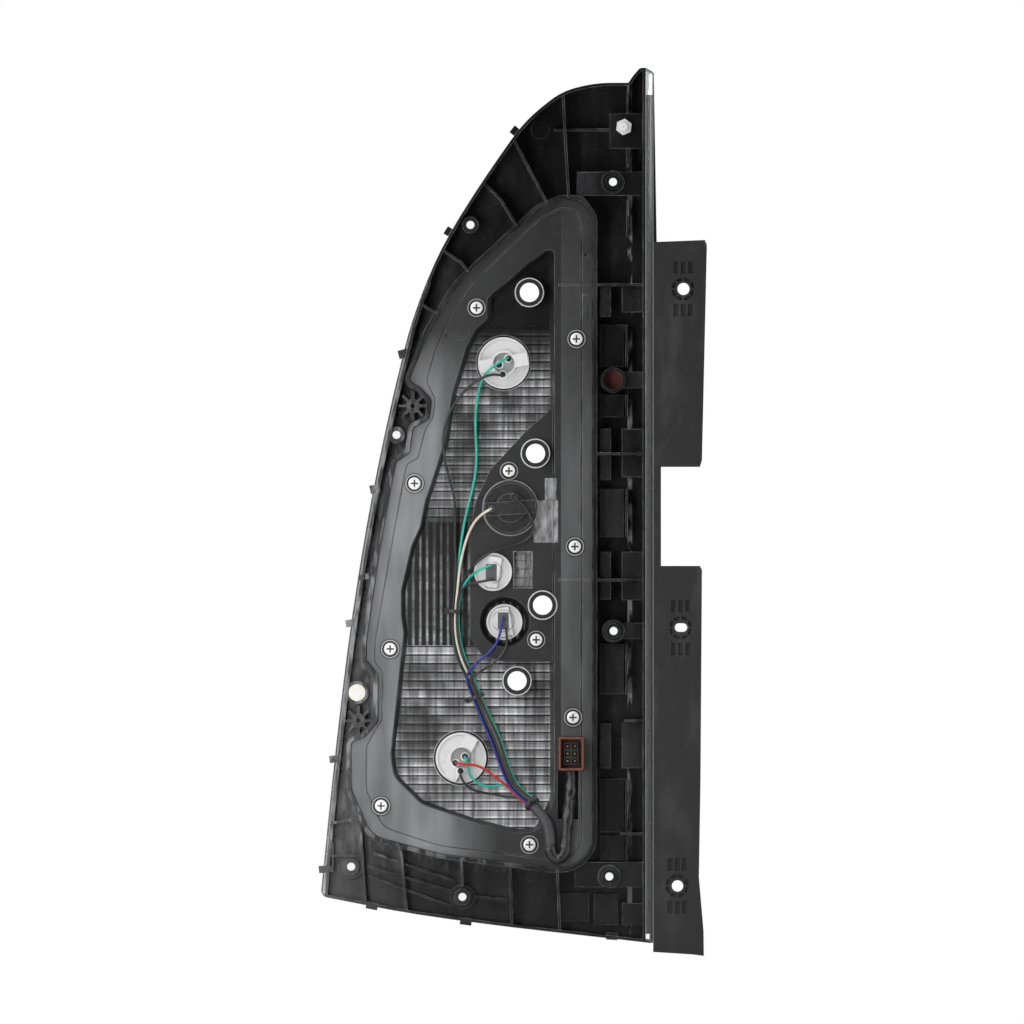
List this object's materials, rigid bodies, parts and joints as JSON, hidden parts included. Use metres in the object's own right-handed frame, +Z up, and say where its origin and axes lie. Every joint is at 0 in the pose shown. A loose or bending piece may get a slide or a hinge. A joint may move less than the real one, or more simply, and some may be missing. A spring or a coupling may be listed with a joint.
{
  "type": "tail light cluster",
  "caption": "Right-hand car tail light cluster seen from its mounting side: glossy black frame, reflector housing, bulb holders, wiring, brown connector and a side flange.",
  "frame": {"origin": "centre of the flange's upper round hole, on the flange's rear face", "axes": "+X to the right and +Z up when the lamp is seen from the car, +Y from the car towards the lens"},
  "size_m": [0.268, 0.0869, 0.6128],
  "materials": {
    "gloss_black": "gloss",
    "satin_dark": "satin",
    "housing_dark": "satin",
    "lens_clear": "clear",
    "red_plastic": "gloss",
    "chrome_coat": "mirror",
    "holder_grey": "satin",
    "holder_black": "satin",
    "seal_rubber": "matte",
    "bulb_glass": "clear",
    "bulb_amber": "clear",
    "bulb_metal": "satin",
    "bright_zinc": "bright",
    "connector_brown": "satin",
    "connector_black": "matte",
    "terminal_brass": "satin",
    "wire_green": "satin",
    "wire_black": "satin",
    "wire_cream": "satin",
    "wire_blue": "satin",
    "wire_red": "satin",
    "sleeve_grey": "matte",
    "tape_black": "matte"
  },
  "bodies": {
    "root": {"rear_frame": "gloss_black", "side_flange": "satin_dark", "lamp_housing": "housing_dark", "housing_seal": "seal_rubber", "outer_lens": "lens_clear", "red_inner_lens": "red_plastic", "clear_inner_lens": "lens_clear", "inner_reflector": "chrome_coat", "side_reflector": "red_plastic", "upper_bulb_holder": "holder_grey", "lower_bulb_holder": "holder_grey", "turn_bulb_holder": "holder_black", "marker_bulb_holder": "holder_grey", "reverse_bulb_holder": "holder_grey", "upper_holder_seal": "seal_rubber", "turn_holder_seal": "seal_rubber", "marker_holder_seal": "seal_rubber", "reverse_holder_seal": "seal_rubber", "lower_holder_seal": "seal_rubber", "upper_bulb_base": "bulb_metal", "upper_bulb_glass": "bulb_glass", "turn_bulb_base": "bulb_metal", "turn_bulb_glass": "bulb_amber", "lower_bulb_base": "bulb_metal", "lower_bulb_glass": "bulb_glass", "marker_bulb": "bulb_glass", "reverse_bulb": "bulb_glass", "housing_screws": "bright_zinc", "threaded_stud": "bright_zinc", "hex_nut": "bright_zinc", "left_bush": "bright_zinc", "connector_shell": "connector_brown", "connector_core": "connector_black", "connector_terminals": "terminal_brass", "grey_sleeve": "sleeve_grey", "taped_bundle": "tape_black", "upper_green_wire": "wire_green", "upper_black_wire": "wire_black", "turn_cream_wire": "wire_cream", "turn_black_wire": "wire_black", "marker_green_wire": "wire_green", "marker_black_wire": "wire_black", "reverse_blue_wire": "wire_blue", "reverse_black_wire": "wire_black", "lower_red_wire": "wire_red", "lower_green_wire": "wire_green", "lower_black_wire": "wire_black", "cable_ties": "connector_black"}
  },
  "joints": []
}
